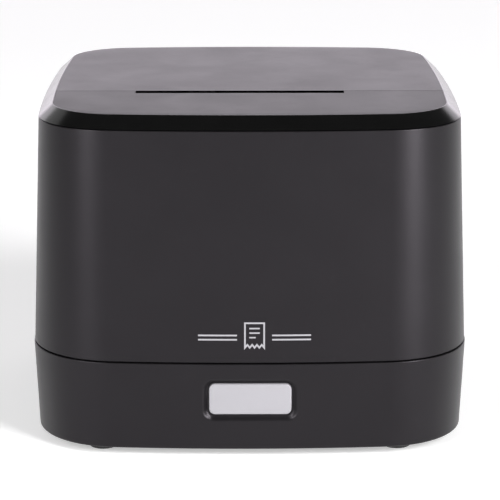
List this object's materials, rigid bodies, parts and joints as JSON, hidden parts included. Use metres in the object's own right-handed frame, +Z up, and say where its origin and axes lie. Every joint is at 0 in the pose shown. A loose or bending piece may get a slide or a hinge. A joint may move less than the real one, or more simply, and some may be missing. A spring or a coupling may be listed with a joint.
{
  "type": "receipt printer",
  "caption": "Counter-top thermal receipt printer with a bowed square case, a low base with a front button and a top lid that opens at a toothed paper slot.",
  "frame": {"origin": "on the table, under the middle of the case, at the bottom of the feet", "axes": "+Z up, -Y the front with the feed button, +X the printer's right as seen from the front"},
  "size_m": [0.166, 0.17, 0.1272],
  "materials": {
    "case_plastic": "matte charcoal, very fine grain",
    "matte_top": "matte charcoal, fine texture",
    "gloss_plastic": "polished black",
    "inner_plastic": "matte black",
    "latch_plastic": "matte green",
    "acetal": "natural acetal",
    "pale_button": "translucent pale grey",
    "black_component": "moulded black",
    "circuit_board": "green solder mask",
    "light": "clear",
    "ribbon": "white flat ribbon",
    "rubber": "black rubber",
    "roller_rubber": "ground rubber",
    "steel": "turned",
    "blade_steel": "ground",
    "screw_steel": "zinc plated",
    "zinc_sheet": "zinc-plated sheet",
    "socket_metal": "plated",
    "motor_can": "plated can",
    "foil": "satin foil",
    "aluminium": "extruded",
    "ceramic": "glazed strip",
    "brass": "turned"
  },
  "bodies": {
    "printer": {"base_case": "case_plastic", "body_shell": "case_plastic", "front_deck": "gloss_plastic", "deck_panel": "matte_top", "tear_bar": "steel", "rating_plate": "foil", "foot_front_left": "rubber", "foot_front_right": "rubber", "foot_rear_left": "rubber", "foot_rear_right": "rubber", "case_screws": "screw_steel", "hinge_pins": "screw_steel", "idler_stud": "steel", "feed_motor": "motor_can", "mechanism_frame": "zinc_sheet", "head_pin": "steel", "head_ribbon": "ribbon", "cutter_stud": "steel", "cutter_motor": "motor_can", "cutter_plate": "zinc_sheet", "button_board": "circuit_board", "feed_switch": "black_component", "status_lights": "light", "roll_bin": "inner_plastic", "main_board": "circuit_board", "board_screws": "screw_steel", "board_parts": "black_component", "lan_socket": "socket_metal", "drawer_socket": "black_component", "usb_socket": "socket_metal", "power_inlet": "black_component", "switch_housing": "black_component", "port_plate": "zinc_sheet", "paper_sensor": "black_component", "mechanism_screws": "screw_steel"},
    "lid": {"lid": "gloss_plastic", "lid_panel": "matte_top", "lid_liner": "inner_plastic", "platen_bush_left": "acetal", "platen_bush_right": "acetal", "fixed_blade": "blade_steel"},
    "platen": {"platen_shaft": "steel", "platen_roller": "roller_rubber", "platen_gear": "acetal"},
    "idler": {"idler_gear": "acetal"},
    "feed_rotor": {"motor_pinion": "brass", "feed_motor_shaft": "steel"},
    "head": {"heat_sink": "aluminium", "print_head": "ceramic", "head_spring": "steel"},
    "cutter_wheel": {"cutter_gear": "acetal"},
    "cutter_rotor": {"cutter_pinion": "brass", "cutter_motor_shaft": "steel"},
    "blade": {"moving_blade": "blade_steel"},
    "latch": {"latch_left": "latch_plastic", "latch_right": "latch_plastic", "latch_shaft": "steel"},
    "release": {"release_button": "case_plastic"},
    "feed_key": {"feed_button": "pale_button"},
    "rocker": {"power_rocker": "black_component"}
  },
  "joints": [
    {"name": "lid_hinge", "type": "hinge", "parent": "printer", "child": "lid", "pos_m": [0, 0.082, 0.1195], "axis": [-1, 0, 0], "range_deg": [0, 95]},
    {"name": "platen_spin", "type": "hinge", "parent": "lid", "child": "platen", "pos_m": [0, -0.0212, 0.1075], "axis": [1, 0, 0], "continuous": true},
    {"name": "idler_spin", "type": "hinge", "parent": "printer", "child": "idler", "pos_m": [0.048, -0.02812, 0.0885], "axis": [1, 0, 0], "continuous": true},
    {"name": "feed_motor_spin", "type": "hinge", "parent": "printer", "child": "feed_rotor", "pos_m": [0.048, -0.03483, 0.07006], "axis": [1, 0, 0], "continuous": true},
    {"name": "head_pivot", "type": "hinge", "parent": "printer", "child": "head", "pos_m": [0, -0.031, 0.094], "axis": [1, 0, 0], "range_deg": [0, 2], "stiffness_Nm_per_rad": 1, "springref_deg": -2.86},
    {"name": "cutter_stroke", "type": "slide", "parent": "printer", "child": "blade", "axis": [0, 1, 0], "range_m": [0, 0.006]},
    {"name": "cutter_gear_turn", "type": "hinge", "parent": "printer", "child": "cutter_wheel", "pos_m": [-0.01, -0.05, 0.118], "axis": [0, 0, 1], "range_deg": [-70, 0]},
    {"name": "cutter_motor_spin", "type": "hinge", "parent": "printer", "child": "cutter_rotor", "pos_m": [0.00212, -0.05, 0.118], "axis": [0, 0, 1], "range_deg": [0, 200]},
    {"name": "latch_turn", "type": "hinge", "parent": "printer", "child": "latch", "pos_m": [0, -0.014, 0.088], "axis": [-1, 0, 0], "range_deg": [0, 12], "stiffness_Nm_per_rad": 0.3, "springref_deg": -5.73},
    {"name": "release_press", "type": "slide", "parent": "printer", "child": "release", "axis": [-1, 0, 0], "range_m": [0, 0.0031]},
    {"name": "feed_press", "type": "slide", "parent": "printer", "child": "feed_key", "axis": [0, 1, 0], "range_m": [0, 0.0008], "stiffness_N_per_m": 1500},
    {"name": "power_rock", "type": "hinge", "parent": "printer", "child": "rocker", "pos_m": [0.045, 0.0782, 0.02], "axis": [1, 0, 0], "range_deg": [0, 14]}
  ],
  "couplings": [
    {"joint": "idler_spin", "follows": "platen_spin", "ratio": -0.34},
    {"joint": "feed_motor_spin", "follows": "platen_spin", "ratio": 1.1333},
    {"joint": "cutter_gear_turn", "follows": "cutter_stroke", "rad_per_m": -178.57},
    {"joint": "cutter_motor_spin", "follows": "cutter_stroke", "rad_per_m": 535.71},
    {"joint": "release_press", "follows": "latch_turn", "m_per_rad": 0.014324}
  ]
}
